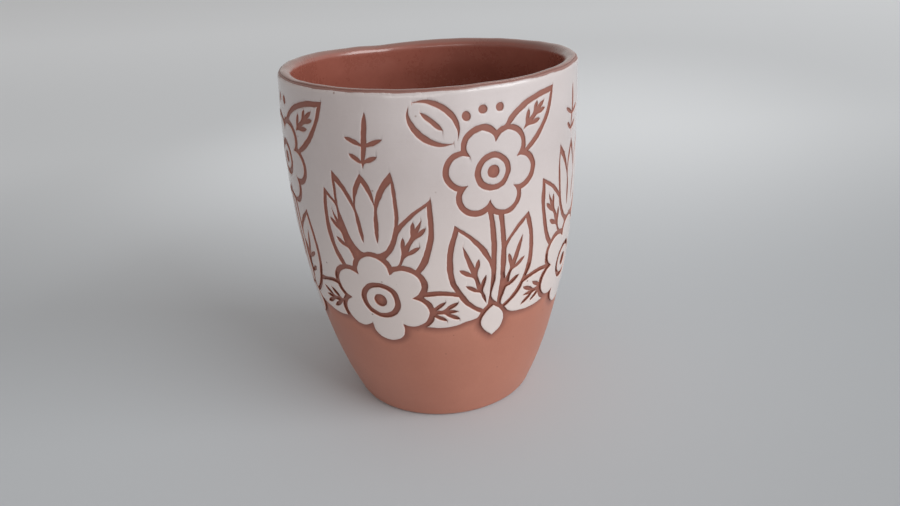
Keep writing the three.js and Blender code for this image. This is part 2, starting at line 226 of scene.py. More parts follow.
def handShape(points):
    # the small unevenness of a thrown cup
    angle = np.arctan2(points[:, 1], points[:, 0])
    radius = np.hypot(points[:, 0], points[:, 1])
    rise = np.clip(points[:, 2] / cupHeight, 0, 1)
    drop = np.full(len(points), handTurned["rimDrop"])
    for turns, (cosine, sine) in enumerate(handTurned["rimWave"], 1):
        drop -= cosine * np.cos(turns * angle) + sine * np.sin(turns * angle)
    drop += handTurned["rimDent"] * towards(angle, handTurned["dentTurn"], handTurned["dentSharpness"])
    swell = rise * handTurned["oval"] * np.sin(2 * angle)
    swell -= rise ** handTurned["slackBend"] * handTurned["slack"]
    finger = points[:, 2] * handTurned["ripplePitch"] + handTurned["rippleSway"] * np.sin(angle)
    swell -= rise * handTurned["ripple"] * (0.5 + 0.5 * np.sin(finger))
    flareFrom = handTurned["flareFrom"]
    nearLip = np.clip((points[:, 2] - flareFrom) / (cupHeight - flareFrom), 0, 1)
    swell += handTurned["flare"] * nearLip * towards(
        angle, handTurned["flareTurn"], handTurned["flareSharpness"]
    )
    lumps = lipLumps(points)
    radius = radius + swell * np.clip(radius / handTurned["middleRadius"], 0, 1) + lumps[:, 0]
    return np.stack(
        [
            radius * np.cos(angle) + handTurned["aside"],
            radius * np.sin(angle),
            points[:, 2] - drop * rise ** handTurned["dropBend"] + lumps[:, 1],
        ],
        axis=1,
    )


def addPiece(name, points, faces, node, material):
    mesh = bpy.data.meshes.new(name)
    mesh.from_pydata((handShape(points) * mm).tolist(), [], faces)
    mesh.update()
    mesh.shade_smooth()
    piece = bpy.data.objects.new(name, mesh)
    bpy.context.scene.collection.objects.link(piece)
    mesh.materials.append(material)
    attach(piece, "root")
    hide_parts(node)
    return piece


def addMask(piece, name, values):
    mask = piece.data.attributes.new(name, "FLOAT", "POINT")
    mask.data.foreach_set("value", np.clip(values, 0, 1))


# Finishes

def addNode(tree, kind, values=None, **settings):
    node = tree.nodes.new(kind)
    for key, value in settings.items():
        setattr(node, key, value)
    for key, value in (values or {}).items():
        node.inputs[key].default_value = value
    return node


def newGroup(name, inputs, outputs):
    group = bpy.data.node_groups.new(name, "ShaderNodeTree")
    for label, kind, value in inputs:
        socket = group.interface.new_socket(label, in_out="INPUT", socket_type=kind)
        socket.default_value = value
    for label, kind in outputs:
        group.interface.new_socket(label, in_out="OUTPUT", socket_type=kind)
    return group, group.nodes.new("NodeGroupInput"), group.nodes.new("NodeGroupOutput")


def placeGroup(tree, group, values):
    node = tree.nodes.new("ShaderNodeGroup")
    node.node_tree = group
    for key, value in values.items():
        node.inputs[key].default_value = value
    return node


def fireTone():
    # two tones of one fired colour, in soft clouds with a finer grain
    group, entry, leave = newGroup(
        "fireTone",
        [
            ("Light", "NodeSocketColor", (1, 1, 1, 1)),
            ("Dark", "NodeSocketColor", (0, 0, 0, 1)),
            ("Cloud Scale", "NodeSocketFloat", 45.0),
            ("Grain Scale", "NodeSocketFloat", 900.0),
            ("Grain Share", "NodeSocketFloat", 0.3),
        ],
        [("Color", "NodeSocketColor"), ("Tone", "NodeSocketFloat")],
    )
    link = group.links.new
    place = addNode(group, "ShaderNodeTexCoord")
    cloud = addNode(group, "ShaderNodeTexNoise", {"Detail": 4.0, "Roughness": 0.55})
    grain = addNode(group, "ShaderNodeTexNoise", {"Detail": 3.0, "Roughness": 0.7})
    blend = addNode(group, "ShaderNodeMix", data_type="FLOAT")
    spread = addNode(group, "ShaderNodeMapRange", {"From Min": 0.3, "From Max": 0.7})
    tint = addNode(group, "ShaderNodeMix", data_type="RGBA")
    for texture, scale in ((cloud, "Cloud Scale"), (grain, "Grain Scale")):
        link(place.outputs["Object"], texture.inputs["Vector"])
        link(entry.outputs[scale], texture.inputs["Scale"])
    link(entry.outputs["Grain Share"], blend.inputs[0])
    link(cloud.outputs["Fac"], blend.inputs[2])
    link(grain.outputs["Fac"], blend.inputs[3])
    link(blend.outputs[0], spread.inputs["Value"])
    link(spread.outputs["Result"], tint.inputs[0])
    link(entry.outputs["Dark"], tint.inputs[6])
    link(entry.outputs["Light"], tint.inputs[7])
    link(tint.outputs[2], leave.inputs["Color"])
    link(spread.outputs["Result"], leave.inputs["Tone"])
    return group


def turningLines():
    # fine rings left by the wheel and the brush, with a pitted grain between them
    group, entry, leave = newGroup(
        "turningLines",
        [
            ("Ring Scale", "NodeSocketFloat", 420.0),
            ("Grain Scale", "NodeSocketFloat", 2600.0),
            ("Grain Share", "NodeSocketFloat", 0.25),
        ],
        [("Height", "NodeSocketFloat"), ("Rings", "NodeSocketFloat")],
    )
    link = group.links.new
    place = addNode(group, "ShaderNodeTexCoord")
    flatten = addNode(group, "ShaderNodeMapping", {"Scale": (0.045, 0.045, 1.0)})
    rings = addNode(group, "ShaderNodeTexNoise", {"Detail": 3.0, "Roughness": 0.6})
    grain = addNode(group, "ShaderNodeTexNoise", {"Detail": 2.0})
    blend = addNode(group, "ShaderNodeMix", data_type="FLOAT")
    link(place.outputs["Object"], flatten.inputs["Vector"])
    link(flatten.outputs["Vector"], rings.inputs["Vector"])
    link(place.outputs["Object"], grain.inputs["Vector"])
    link(entry.outputs["Ring Scale"], rings.inputs["Scale"])
    link(entry.outputs["Grain Scale"], grain.inputs["Scale"])
    link(entry.outputs["Grain Share"], blend.inputs[0])
    link(rings.outputs["Fac"], blend.inputs[2])
    link(grain.outputs["Fac"], blend.inputs[3])
    link(blend.outputs[0], leave.inputs["Height"])
    link(rings.outputs["Fac"], leave.inputs["Rings"])
    return group


def ironSpecks():
    # sparse dark specks that burn through in the kiln
    group, entry, leave = newGroup(
        "ironSpecks",
        [
            ("Scale", "NodeSocketFloat", 300.0),
            ("Size", "NodeSocketFloat", 0.11),
            ("Share", "NodeSocketFloat", 0.1),
        ],
        [("Mask", "NodeSocketFloat")],
    )
    link = group.links.new
    place = addNode(group, "ShaderNodeTexCoord")
    cells = addNode(group, "ShaderNodeTexVoronoi")
    few = addNode(group, "ShaderNodeMath", operation="LESS_THAN")
    pick = addNode(group, "ShaderNodeSeparateColor")
    near = addNode(group, "ShaderNodeMapRange", {"From Min": 0.02, "To Min": 1.0, "To Max": 0.0})
    both = addNode(group, "ShaderNodeMath", operation="MULTIPLY")
    link(place.outputs["Object"], cells.inputs["Vector"])
    link(entry.outputs["Scale"], cells.inputs["Scale"])
    link(cells.outputs["Color"], pick.inputs["Color"])
    link(pick.outputs["Red"], few.inputs[0])
    link(entry.outputs["Share"], few.inputs[1])
    link(cells.outputs["Distance"], near.inputs["Value"])
    link(entry.outputs["Size"], near.inputs["From Max"])
    link(few.outputs[0], both.inputs[0])
    link(near.outputs["Result"], both.inputs[1])
    link(both.outputs[0], leave.inputs["Mask"])
    return group


toneGroup = fireTone()
linesGroup = turningLines()
specksGroup = ironSpecks()


def newFinish(name, settings):
    material = bpy.data.materials.new(name)
    material.use_nodes = True
    tree = material.node_tree
    shader = tree.nodes["Principled BSDF"]
    for key, value in settings.items():
        shader.inputs[key].default_value = value
    return material, tree, shader


def addSurface(tree, shader, toneNode, lines, finish):
    # roughness follows the fired tone, and the bump follows the turning lines
    roughness = addNode(tree, "ShaderNodeMapRange", {"To Min": finish["smooth"], "To Max": finish["rough"]})
    bump = finish["bump"]
    relief = addNode(tree, "ShaderNodeBump", {"Strength": bump["strength"], "Distance": bump["depth"] * mm})
    tree.links.new(toneNode.outputs["Tone"], roughness.inputs["Value"])
    tree.links.new(roughness.outputs["Result"], shader.inputs["Roughness"])
    tree.links.new(lines.outputs["Height"], relief.inputs["Height"])
    tree.links.new(relief.outputs["Normal"], shader.inputs["Normal"])


redClay = {
    "light": (0.43, 0.172, 0.116, 1),
    "dark": (0.37, 0.133, 0.086, 1),
    "cut": (0.25, 0.085, 0.058, 1),  # raw clay where the knife went
    "lip": (0.26, 0.122, 0.1, 1),
    "speck": (0.16, 0.06, 0.04, 1),
    "specks": {"Scale": 420.0, "Share": 0.12},
    "smooth": 0.44,
    "rough": 0.6,
    "bump": {"strength": 0.35, "depth": 0.25},
    "shader": {"Coat Roughness": 0.34},
    "coat": 0.26,
    "lipCoat": 0.45,
}


def redClayFinish():
    material, tree, shader = newFinish("redClay", redClay["shader"])
    link = tree.links.new
    tone = placeGroup(tree, toneGroup, {"Light": redClay["light"], "Dark": redClay["dark"]})
    lines = placeGroup(tree, linesGroup, {})
    specks = placeGroup(tree, specksGroup, redClay["specks"])
    raw = addNode(tree, "ShaderNodeAttribute", attribute_name="rawClay")
    lip = addNode(tree, "ShaderNodeAttribute", attribute_name="lipGlaze")
    carved = addNode(tree, "ShaderNodeMix", {7: redClay["cut"]}, data_type="RGBA")
    speckled = addNode(tree, "ShaderNodeMix", {7: redClay["speck"]}, data_type="RGBA")
    glazed = addNode(tree, "ShaderNodeMix", {7: redClay["lip"]}, data_type="RGBA")
    sheen = addNode(tree, "ShaderNodeMapRange", {"To Min": redClay["coat"], "To Max": redClay["lipCoat"]})
    link(raw.outputs["Fac"], carved.inputs[0])
    link(tone.outputs["Color"], carved.inputs[6])
    link(specks.outputs["Mask"], speckled.inputs[0])
    link(carved.outputs[2], speckled.inputs[6])
    link(lip.outputs["Fac"], glazed.inputs[0])
    link(speckled.outputs[2], glazed.inputs[6])
    link(glazed.outputs[2], shader.inputs["Base Color"])
    link(lip.outputs["Fac"], sheen.inputs["Value"])
    link(sheen.outputs["Result"], shader.inputs["Coat Weight"])
    addSurface(tree, shader, tone, lines, redClay)
    return material


glazedInside = {
    "light": (0.325, 0.104, 0.074, 1),
    "dark": (0.24, 0.071, 0.049, 1),
    "cloudScale": 60.0,
    "lines": {"Ring Scale": 260.0, "Grain Scale": 230.0, "Grain Share": 0.4},
    "smooth": 0.22,
    "rough": 0.36,
    "bump": {"strength": 0.28, "depth": 0.3},
    "shader": {"Coat Weight": 0.7, "Coat Roughness": 0.18},
}


def glazedInsideFinish():
    material, tree, shader = newFinish("glazedInside", glazedInside["shader"])
    tone = placeGroup(
        tree,
        toneGroup,
        {
            "Light": glazedInside["light"],
            "Dark": glazedInside["dark"],
            "Cloud Scale": glazedInside["cloudScale"],
        },
    )
    lines = placeGroup(tree, linesGroup, glazedInside["lines"])
    lip = addNode(tree, "ShaderNodeAttribute", attribute_name="lipGlaze")
    glazed = addNode(tree, "ShaderNodeMix", {7: redClay["lip"]}, data_type="RGBA")
    tree.links.new(lip.outputs["Fac"], glazed.inputs[0])
    tree.links.new(tone.outputs["Color"], glazed.inputs[6])
    tree.links.new(glazed.outputs[2], shader.inputs["Base Color"])
    addSurface(tree, shader, tone, lines, glazedInside)
    return material


whiteSlip = {
    "light": (0.575, 0.515, 0.51, 1),
    "dark": (0.515, 0.45, 0.44, 1),
    "paintedHemLight": (0.74, 0.643, 0.603, 1),  # painted light: the slip is painted paler and warmer towards the hem, for the light that the floor throws on the lower wall
    "paintedHemLightShare": 0.55,
    "paintedHemLightFrom": 0.08,  # m of height
    "paintedHemLightTo": 0.045,
    "speck": (0.20, 0.11, 0.08, 1),
    "specks": {"Scale": 260.0, "Size": 0.1, "Share": 0.12},
    "cloudScale": 35.0,
    "grainShare": 0.2,
    "lines": {"Ring Scale": 700.0, "Grain Share": 0.2},
    "clayFrom": 0.5,  # share of the coat's depth where the clay begins to show
    "clayTo": 0.85,
    "smooth": 0.34,
    "rough": 0.5,
    "bump": {"strength": 0.3, "depth": 0.2},
    "shader": {"Coat Roughness": 0.12},
    "coat": 0.8,
    "coatFrom": 0.93,  # share of the coat's depth where its gloss begins, because the cut edge is matt
}


def whiteSlipFinish():
    material, tree, shader = newFinish("whiteSlip", whiteSlip["shader"])
    link = tree.links.new
    tone = placeGroup(
        tree,
        toneGroup,
        {
            "Light": whiteSlip["light"],
            "Dark": whiteSlip["dark"],
            "Cloud Scale": whiteSlip["cloudScale"],
            "Grain Share": whiteSlip["grainShare"],
        },
    )
    clayTone = placeGroup(tree, toneGroup, {"Light": redClay["light"], "Dark": redClay["cut"]})
    lines = placeGroup(tree, linesGroup, whiteSlip["lines"])
    specks = placeGroup(tree, specksGroup, whiteSlip["specks"])
    speckled = addNode(tree, "ShaderNodeMix", {7: whiteSlip["speck"]}, data_type="RGBA")
    place = addNode(tree, "ShaderNodeTexCoord")
    split = addNode(tree, "ShaderNodeSeparateXYZ")
    # painted light: towards the hem the slip's colour is mixed towards a paler, warmer tone
    low = addNode(
        tree,
        "ShaderNodeMapRange",
        {
            "From Min": whiteSlip["paintedHemLightFrom"],
            "From Max": whiteSlip["paintedHemLightTo"],
            "To Max": whiteSlip["paintedHemLightShare"],
        },
    )
    hemLightMix = addNode(tree, "ShaderNodeMix", {7: whiteSlip["paintedHemLight"]}, data_type="RGBA")
    depth = addNode(tree, "ShaderNodeAttribute", attribute_name="coatDepth")
    cover = addNode(
        tree, "ShaderNodeMapRange", {"From Min": whiteSlip["clayFrom"], "From Max": whiteSlip["clayTo"]}
    )
    coat = addNode(tree, "ShaderNodeMix", data_type="RGBA")
    gloss = addNode(
        tree, "ShaderNodeMapRange", {"From Min": whiteSlip["coatFrom"], "To Max": whiteSlip["coat"]}
    )
    link(depth.outputs["Fac"], gloss.inputs["Value"])
    link(gloss.outputs["Result"], shader.inputs["Coat Weight"])
    link(place.outputs["Object"], split.inputs["Vector"])
    link(split.outputs["Z"], low.inputs["Value"])
    link(low.outputs["Result"], hemLightMix.inputs[0])
    link(tone.outputs["Color"], hemLightMix.inputs[6])
    link(specks.outputs["Mask"], speckled.inputs[0])
    link(hemLightMix.outputs[2], speckled.inputs[6])
    link(depth.outputs["Fac"], cover.inputs["Value"])
    link(cover.outputs["Result"], coat.inputs[0])
    link(clayTone.outputs["Color"], coat.inputs[6])
    link(speckled.outputs[2], coat.inputs[7])
    link(coat.outputs[2], shader.inputs["Base Color"])
    addSurface(tree, shader, tone, lines, whiteSlip)
    return material


redClayMaterial = redClayFinish()
glazedInsideMaterial = glazedInsideFinish()
whiteSlipMaterial = whiteSlipFinish()
print("finishes made")


# The carved coat: each island keeps its solid's outline, redrawn as a hand-cut edge

slipCoat = {
    "edgeSpacing": 0.4,  # mm between points along a cut edge
    "cornerTurn": 56.0,
    "fieldSpacing": 1.8,  # mm between points inside an island
    "fieldMargin": 1.15,  # mm from the cut edge to the first of them
    "allRound": 5.0,  # radians; an island that spans more goes right round the cup
    "fullLift": 0.3,  # mm from the clay to the top of the coat
    "facingOut": 0.6,  # share of a normal that points straight out, on an outer face
    "edgeLift": 0.17,
    "shoulder": [(0.08, 0.245), (0.2, 0.285), (0.42, 0.3), (0.75, 0.3)],  # mm in from the edge, and the lift
    "lipRows": [1.1, 1.5, 1.9, 2.3, 2.8],  # mm in from the upper edge, where the coat turns on to the lip
    "insetClear": 0.8,  # share of its inset that a point keeps from every cut edge
    "lipField": 3.4,  # mm below the top where the field begins
    "skirt": [(0.03, 0.07), (0.07, -0.18)],  # mm out from the edge, and the lift there
    "waver": 0.25,  # mm that the knife strays
    "waverLength": 5.0,
    "nick": 0.09,
    "nickLength": 1.2,
    "seedShift": (17.3, 5.1, 9.7),  # keeps one island's waver apart from the next one's
    "straight": 0.1,  # mm; a point closer than this to its neighbours' line is spare
    "fewest": 4,  # points that an outline keeps
    "weld": 1e-5,  # mm; points closer than this become one
    "topDip": 0.45,  # mm that the brushed edge under the lip sinks, on the side of dipTurn
    "dipTurn": 5.0,  # degrees
    "dipSharpness": 4,
    "dipReach": 1.5,  # mm under the top
}


def chains(directedEdges):
    # closed loops of point numbers; two loops that touch at a point stay two loops
    onward = {}
    for start, end in directedEdges:
        onward.setdefault(start, []).append(end)
    loops = []
    while onward:
        path = [next(iter(onward))]
        while path[-1] in onward:
            ends = onward[path[-1]]
            here = ends.pop()
            if not ends:
                del onward[path[-1]]
            if here in path:
                meeting = path.index(here)
                loops.append(path[meeting:])
                path = path[:meeting]
            path.append(here)
    return loops


def borderOf(faces):
    edges = [(face[i], face[(i + 1) % len(face)]) for face in faces for i in range(len(face))]
    taken = set(edges)
    return chains([(a, b) for a, b in edges if (b, a) not in taken])


def withoutSpare(loop):
    # drops points that lie on the line between their neighbours
    kept = list(loop)
    changed = True
    while changed and len(kept) > slipCoat["fewest"]:
        changed = False
        for i in range(len(kept) - 1, -1, -1):
            before, here, after = kept[i - 1], kept[i], kept[(i + 1) % len(kept)]
            line = after - before
            away = np.linalg.norm(np.cross(line, here - before))
            near = away < slipCoat["straight"] * max(np.linalg.norm(line), 0.01)
            if near and len(kept) > slipCoat["fewest"]:
                kept.pop(i)
                changed = True
    return np.array(kept)


def sheetAxes(loop):
    # up the wall, round the wall, and how much the sheet stretches the way round
    reach = np.linalg.norm(loop, axis=1)
    outward = loop / reach[:, None]
    around = np.stack([-outward[:, 1], outward[:, 0]], axis=1)
    return outward, around, reach / alongOutside(outside[:, 0], reach)


def shifted(loop, distance):
    # the loop moved sideways by a true distance on the wall, to its left
    outward, around, stretch = sheetAxes(loop)
    along = np.roll(loop, -1, axis=0) - np.roll(loop, 1, axis=0)
    alongOut = (along * outward).sum(axis=1)
    alongRound = (along * around).sum(axis=1) / stretch
    size = np.maximum(np.hypot(alongOut, alongRound), 1e-9)
    return loop + distance * (
        (-alongRound / size)[:, None] * outward + (alongOut / size * stretch)[:, None] * around
    )


def wavered(loop, seed):
    # the whole outline swayed a little, as a knife strays
    spots = fromSheet(loop, np.zeros(len(loop)))
    away = Vector([seed * shift for shift in slipCoat["seedShift"]])
    sway = np.array(
        [
            slipCoat["waver"] * noise.noise_vector(Vector(spot) / slipCoat["waverLength"] + away)
            + slipCoat["nick"] * noise.noise_vector(Vector(spot) / slipCoat["nickLength"] - away)
            for spot in spots
        ]
    )
    angle = np.arctan2(spots[:, 1], spots[:, 0])
    underLip = np.clip(spots[:, 2] - (cupHeight - slipCoat["dipReach"]), 0, 1)
    dip = slipCoat["topDip"] * towards(angle, slipCoat["dipTurn"], slipCoat["dipSharpness"])
    sway[:, 0] -= dip * underLip
    outward, around, stretch = sheetAxes(loop)
    return loop + sway[:, :1] * outward + (sway[:, 1] * stretch)[:, None] * around


def treeOf(points):
    tree = KDTree(len(points))
    for i, point in enumerate(points):
        tree.insert(point, i)
    tree.balance()
    return tree


def fieldPoints(border, tree):
    # a staggered grid of points clear of the cut edge
    step = slipCoat["fieldSpacing"]
    reach = np.linalg.norm(border, axis=1)
    angle = np.unwrap(np.arctan2(border[:, 1], border[:, 0]))
    wide = angle.max() - angle.min() > slipCoat["allRound"]
    low, high = (0, 2 * math.pi) if wide else (angle.min(), angle.max())
    made = []
    for row, out in enumerate(np.arange(reach.min() + step / 2, reach.max(), step)):
        radius = alongOutside(outside[:, 0], out)
        turn = low + (np.arange(int((high - low) * radius / step) + 1) + 0.5 * (row % 2)) * step / radius
        made.append(np.stack([out * np.cos(turn), out * np.sin(turn)], axis=1))
    grid = np.concatenate(made)
    spots = fromSheet(grid, np.zeros(len(grid)))
    clear = np.array([tree.find(spot)[2] > slipCoat["fieldMargin"] for spot in spots])
    return grid[clear & (spots[:, 2] < cupHeight - slipCoat["lipField"])]


def insetPoints(loops, tree):
    made, lifts = [], []
    rows = slipCoat["shoulder"] + [(inset, slipCoat["fullLift"]) for inset in slipCoat["lipRows"]]
    for inset, lift in rows:
        for loop in loops:
            inner = shifted(loop, inset)
            spots = fromSheet(inner, np.zeros(len(inner)))
            clear = np.array([tree.find(spot)[2] > slipCoat["insetClear"] * inset for spot in spots])
            if inset in slipCoat["lipRows"]:
                edge = fromSheet(loop, np.zeros(len(loop)))
                clear &= edge[:, 2] > cupHeight - turnedLine["lipTurn"]
            made.append(inner[clear])
            lifts.append(np.full(int(clear.sum()), lift))
    return np.concatenate(made), np.concatenate(lifts)


def cutLoops(name):
    points, faces = weldedNode(name)
    first, second, third = (points[faces[:, i]] for i in range(3))
    normal = np.cross(second - first, third - first)
    normal /= np.maximum(np.linalg.norm(normal, axis=1), 1e-12)[:, None]
    away = (first + second + third) * [1, 1, 0]
    away /= np.linalg.norm(away, axis=1)[:, None]
    top = faces[(normal * away).sum(axis=1) > slipCoat["facingOut"]]
    onWall = fromSheet(toSheet(points), np.zeros(len(points)))
    loops = [withoutSpare(onWall[loop]) for loop in borderOf(top.tolist())]
    spacing, cornerTurn = slipCoat["edgeSpacing"], slipCoat["cornerTurn"]
    return [toSheet(smoothLine(loop, spacing, cornerTurn, True)) for loop in loops]


def filled(flat, loops):
    # triangles over the points, inside an odd number of the loops
    rings, first = [], 0
    for loop in loops:
        ring = list(range(first, first + len(loop)))
        first += len(loop)
        after = np.roll(loop, -1, axis=0)
        area = (loop[:, 0] * after[:, 1] - loop[:, 1] * after[:, 0]).sum()
        rings.append(ring if area > 0 else ring[::-1])
    corners = [Vector(spot) for spot in flat]
    insideOnly = 1
    spots, _, faces, origins, _, owners = delaunay_2d_cdt(corners, [], rings, insideOnly, slipCoat["weld"])
    inside = [face for face, owner in zip(faces, owners) if len(owner) % 2]
    return np.array([spot[:] for spot in spots]), inside, origins


def coatPiece(name, seed):
    loops = [wavered(loop, seed) for loop in cutLoops(name)]
    border = np.concatenate(loops)
    edge = fromSheet(border, np.zeros(len(border)))
    cutEdges.extend(edge)
    tree = treeOf(edge)
    inset, insetLift = insetPoints(loops, tree)
    field = fieldPoints(border, tree)
    lift = np.concatenate(
        [np.full(len(border), slipCoat["edgeLift"]), insetLift, np.full(len(field), slipCoat["fullLift"])]
    )
    spots, found, origins = filled(np.concatenate([border, inset, field]), loops)
    used = sorted({i for face in found for i in face})
    place = {old: new for new, old in enumerate(used)}
    top = [tuple(place[i] for i in face) for face in found]
    lift = np.array([lift[origins[i][0]] if origins[i] else slipCoat["edgeLift"] for i in used])
    closedCoat(name, spots[used], lift, top, field)


def closedCoat(name, flat, lift, top, field):
    # the top, a skirt down into the clay, and an underside
    faces = list(top)
    flats, lifts = [flat], [lift]
    count = len(flat)
    edges, bottom = [], []
    for loop in borderOf(top):
        ring = loop
        edges.append(flat[loop])
        for out, level in slipCoat["skirt"]:
            low = list(range(count, count + len(loop)))
            count += len(loop)
            flats.append(shifted(flat[loop], -out))
            lifts.append(np.full(len(loop), level))
            for i in range(len(loop)):
                j = (i + 1) % len(loop)
                faces.append((ring[j], ring[i], low[i], low[j]))
            ring = low
        bottom += ring
    flats.append(field)
    lifts.append(np.full(len(field), slipCoat["skirt"][-1][1]))
    bottom += list(range(count, count + len(field)))
    _, under, origins = filled(np.concatenate(edges + [field]), edges)
    faces += [tuple(bottom[origins[i][0]] for i in reversed(face)) for face in under]
    level = np.concatenate(lifts)
    points = fromSheet(np.concatenate(flats), level)
    piece = addPiece(name, points, faces, name, whiteSlipMaterial)
    addMask(piece, "coatDepth", level / slipCoat["fullLift"])


cutEdges = []  # points along every cut edge, for the clay beside them
slipNodes = sorted(name for name in cadNodes if name.startswith("slip_"))
for seed, name in enumerate(slipNodes):
    coatPiece(name, seed + 1)
print("slip islands made:", len(slipNodes))


# The turned pieces

turnedPieces = {
    "sides": 256,
    "floorRing": 0.16,  # mm of the rings that the thrower's finger leaves on the floor inside
    "floorRingWidth": 6.5,
    "floorRingReach": 24.0,  # mm from the axis
    "floorRingHeight": 20.0,  # mm; rings lie below this
}


def turnedMesh(profile):
    sides = turnedPieces["sides"]
    line = profile[1:-1]  # the two ends on the axis become poles
    turn = np.linspace(0, 2 * math.pi, sides, endpoint=False)
    rings = np.stack(
        [
            np.outer(line[:, 0], np.cos(turn)),
            np.outer(line[:, 0], np.sin(turn)),
            np.repeat(line[:, 1:2], sides, axis=1),
        ],
        axis=2,
    ).reshape(-1, 3)
    poles = [[0, 0, profile[0, 1]], [0, 0, profile[-1, 1]]]
    lowPole, highPole = len(rings), len(rings) + 1
    last = (len(line) - 1) * sides
    faces = []
    for side in range(sides):
        beside = (side + 1) % sides
        faces.append((lowPole, beside, side))
        faces.append((highPole, last + side, last + beside))
        for row in range(0, last, sides):
            faces.append((row + side, row + beside, row + sides + beside, row + sides + side))
    return np.concatenate([rings, poles]), faces


carvedClay = {
    "scoop": 0.28,  # mm that the knife hollows the clay along the edge of the coat
    "scoopWidth": 4.5,
    "scoopBelow": 0.5,  # share of the cup's height
    "carvedFrom": 10.0,  # mm of height; the knife stays above this
    "skin": 0.5,  # mm; how far into the wall its outside still counts
    "uncut": 99.0,  # mm, where no cut edge is looked for
    "rawFrom": 0.7,  # mm from the edge where the raw cut begins to turn into scraped skin
    "rawTo": 2.2,
    "lipGlaze": 1.3,  # mm below the top that the dark glaze on the lip runs down outside
    "lipGlazeInside": 1.1,
    "lipFade": 0.5,
    "lipFill": 0.3,  # mm of glaze between the coats, on the outer turn of the lip
    "lipFillDepth": 0.2,  # mm below the top where it is thickest
    "lipFillReach": 0.4,
}


def fromCutEdge(points):
    # mm to the nearest cut edge, for points on the outside of the wall
    far = np.full(len(points), carvedClay["uncut"])
    radius = np.hypot(points[:, 0], points[:, 1])
    wallRadius = np.interp(points[:, 2], outside[:, 1], outside[:, 0])
    tree = treeOf(cutEdges)
    onWall = (points[:, 2] > carvedClay["carvedFrom"]) & (radius > wallRadius - carvedClay["skin"])
    for i in np.flatnonzero(onWall):
        far[i] = tree.find(points[i])[2]
    return far


def scooped(points, far):
    near = np.clip(far / carvedClay["scoopWidth"], 0, 1)
    radius = np.maximum(np.hypot(points[:, 0], points[:, 1]), touching)
    low = points[:, 2] < carvedClay["scoopBelow"] * cupHeight
    depth = carvedClay["scoop"] * (1 - near) ** 2 * (1 + 2 * near) * low
    keep = 1 - depth / radius
    return points * np.stack([keep, keep, np.ones(len(points))], axis=1)


def lipFilled(line):
    # the profile with its outer turn under the top raised, so that the coats meet with no groove
    off = np.abs(cupHeight - carvedClay["lipFillDepth"] - line[:, 1]) / carvedClay["lipFillReach"]
    outer = line[:, 0] > outside[-1, 0]
    raised = carvedClay["lipFill"] * np.clip(1 - off, 0, 1) * outer
    return line + raised[:, None]


def addClay():
    points, faces = turnedMesh(lipFilled(clayLine))
    far = fromCutEdge(points)
    piece = addPiece("clay_body", scooped(points, far), faces, "clay_body", redClayMaterial)
    reach = carvedClay["rawTo"] - carvedClay["rawFrom"]
    addMask(piece, "rawClay", (carvedClay["rawTo"] - far) / reach)
    addMask(piece, "lipGlaze", (points[:, 2] - cupHeight + carvedClay["lipGlaze"]) / carvedClay["lipFade"])


def ringedFloor(line):
    # the upper face of the lining on the floor, with rings from its middle outwards
    radius = line[:, 0]
    upper = np.arange(len(line)) > line[:, 1].argmax()
    fade = np.clip(1 - radius / turnedPieces["floorRingReach"], 0, 1)
    rings = turnedPieces["floorRing"] * fade * np.cos(2 * math.pi * radius / turnedPieces["floorRingWidth"])
    ringed = line.copy()
    ringed[:, 1] += rings * (upper & (line[:, 1] < turnedPieces["floorRingHeight"]))
    return ringed


def addLining():
    points, faces = turnedMesh(ringedFloor(roundedProfile(turnedProfile("glaze_lining"))))
    piece = addPiece("glaze_lining", points, faces, "glaze_lining", glazedInsideMaterial)
    top = points[:, 2].max()
    addMask(piece, "lipGlaze", (points[:, 2] - top + carvedClay["lipGlazeInside"]) / carvedClay["lipFade"])


addClay()
addLining()
print("turned pieces made")


# Stage, light and camera

studio = {
    "floorSize": 3.6,  # m
    "paper": (0.617, 0.65, 0.682, 1),
    "paperFar": (0.915, 0.955, 0.99, 1),  # painted light: the sheet is painted paler where it runs back from the cup
    "pool": (0.03, 0.19, 0),  # m; middle of the best lit part of the sheet, a painted pool of light
    "poolReach": (0.26, 0.5, 1),
    "poolTurn": -25.0,  # degrees
    "poolFrom": 0.3,  # share of that reach where the sheet begins to dim
    # painted shade: away from the pool the sheet's colour is multiplied by this
    "dim": (0.79, 0.79, 0.79, 1),
    "paintedFarLightFrom": 0.3,  # m behind the cup, where the painted shade begins to give way to painted light on the far sheet
    "paintedFarLightTo": 0.9,
    "paintedFarLightDim": 0.25,  # share of the dimming that is left there
    "farFrom": 0.02,  # m behind the cup
    "farTo": 0.30,
    "fibre": {"Scale": 900.0, "Detail": 3.0},
    "smooth": 0.75,
    "rough": 0.9,
    "bump": {"strength": 0.1, "depth": 0.1},
    "shader": {"Specular IOR Level": 0.2},
    "room": (1.0, 0.985, 0.97, 1),
    "roomAway": (1.0, 0.92, 0.87, 1),  # warmer walls on the side away from the window
    "roomLevel": 0.76,  # light from the walls of the room, and from above
    "ceilingLevel": 0.46,
    "awayShare": 0.6,  # of that light, on the side away from the window
}


